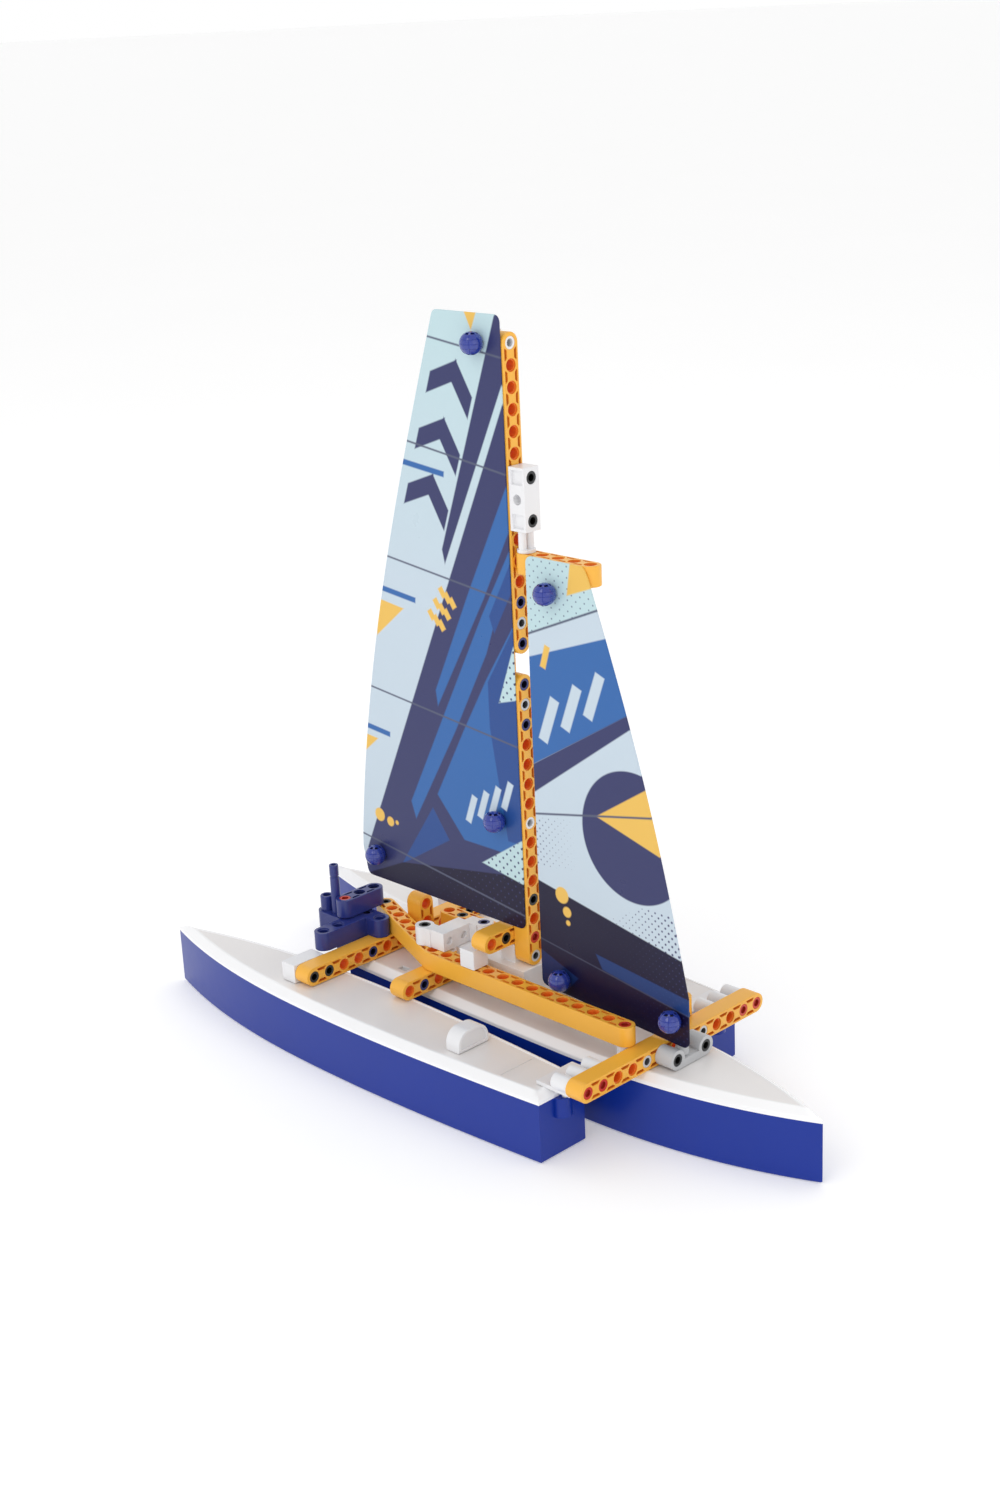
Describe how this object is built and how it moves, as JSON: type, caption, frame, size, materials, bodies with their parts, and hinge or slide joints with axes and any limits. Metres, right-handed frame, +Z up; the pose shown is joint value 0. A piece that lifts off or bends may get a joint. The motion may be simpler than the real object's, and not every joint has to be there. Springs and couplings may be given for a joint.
{
  "type": "toy sailing trimaran",
  "caption": "Construction-kit sailing trimaran with blue hulls, white decks, perforated orange beams, a mast and stiff printed sails held by ball knobs.",
  "frame": {"origin": "under the middle of the overall length, on the surface that the hull bottoms stand on", "axes": "+X to the bow, +Y to port, +Z up"},
  "size_m": [0.397, 0.152, 0.373],
  "materials": {
    "hull_blue": "smooth satin blue shell",
    "deck_white": "glossy white rim with a matt panel",
    "beam_orange": "satin yellow-orange moulding",
    "connector_white": "satin white moulding",
    "connector_grey": "satin light grey moulding",
    "helm_blue": "satin blue moulding",
    "knob_blue": "glossy blue",
    "sail_print": "stiff printed sheet, satin",
    "pin_black": "satin black",
    "pin_blue": "satin dark blue",
    "pin_grey": "satin light grey",
    "pin_red": "satin red"
  },
  "bodies": {
    "boat": {"centre_hull": "hull_blue", "centre_deck": "deck_white", "float_hull_starboard": "hull_blue", "float_hull_port": "hull_blue", "float_deck_starboard": "deck_white", "float_deck_port": "deck_white", "deck_fitting_starboard": "deck_white", "deck_fitting_port": "deck_white", "bow_bracket_starboard": "connector_white", "bow_bracket_port": "connector_white", "stern_bracket_starboard": "connector_white", "stern_bracket_port": "connector_white", "bow_crossbeam": "beam_orange", "mid_crossbeam": "beam_orange", "stern_crossbeam": "beam_orange", "starboard_rail": "beam_orange", "port_rail": "beam_orange", "rail_posts": "connector_white", "bow_connector": "connector_grey", "mast_step": "connector_white", "mast_lower": "beam_orange", "mast_upper": "beam_orange", "mast_splice": "beam_orange", "mast_brace": "beam_orange", "brace_blocks": "connector_white", "mid_bridge": "connector_white", "masthead_block": "connector_white", "masthead_stem": "connector_white", "jib_head_beam": "beam_orange", "jib_head_block": "connector_white", "jib_foot_post": "connector_white", "jib_tack_post": "connector_grey", "boom": "beam_orange", "luff_block_head": "connector_white", "luff_block_tack": "connector_white", "stern_upright": "beam_orange", "helm_bracket": "helm_blue", "helm_frame": "helm_blue", "helm_bush": "helm_blue", "helm_handle": "helm_blue", "main_sail": "sail_print", "jib_sail": "sail_print", "knob_axles": "pin_black", "black_pins": "pin_black", "blue_pins": "pin_blue", "white_pins": "pin_grey", "red_pins": "pin_red"},
    "knob_main_head": {"knob_main_head": "knob_blue"},
    "knob_main_tack": {"knob_main_tack": "knob_blue"},
    "knob_main_clew": {"knob_main_clew": "knob_blue"},
    "knob_jib_head": {"knob_jib_head": "knob_blue"},
    "knob_jib_foot": {"knob_jib_foot": "knob_blue"},
    "knob_jib_tack": {"knob_jib_tack": "knob_blue"},
    "tiller": {"tiller_bar": "helm_blue"}
  },
  "joints": [
    {"name": "knob_main_head_spin", "type": "hinge", "parent": "boat", "child": "knob_main_head", "pos_m": [0.0085, -0.0098, 0.36], "axis": [0, 1, 0], "continuous": true},
    {"name": "knob_main_tack_spin", "type": "hinge", "parent": "boat", "child": "knob_main_tack", "pos_m": [0.0085, -0.0098, 0.13], "axis": [0, 1, 0], "continuous": true},
    {"name": "knob_main_clew_spin", "type": "hinge", "parent": "boat", "child": "knob_main_clew", "pos_m": [-0.0815, -0.0098, 0.09], "axis": [0, 1, 0], "continuous": true},
    {"name": "knob_jib_head_spin", "type": "hinge", "parent": "boat", "child": "knob_jib_head", "pos_m": [0.0485, -0.0098, 0.25], "axis": [0, 1, 0], "continuous": true},
    {"name": "knob_jib_foot_spin", "type": "hinge", "parent": "boat", "child": "knob_jib_foot", "pos_m": [0.0485, -0.0098, 0.05748], "axis": [0, 1, 0], "continuous": true},
    {"name": "knob_jib_tack_spin", "type": "hinge", "parent": "boat", "child": "knob_jib_tack", "pos_m": [0.1185, -0.0098, 0.05798], "axis": [0, 1, 0], "continuous": true},
    {"name": "tiller_swing", "type": "hinge", "parent": "boat", "child": "tiller", "pos_m": [-0.0965, -0.02, 0.06], "axis": [0, 0, 1], "range_deg": [-186, 6]}
  ]
}
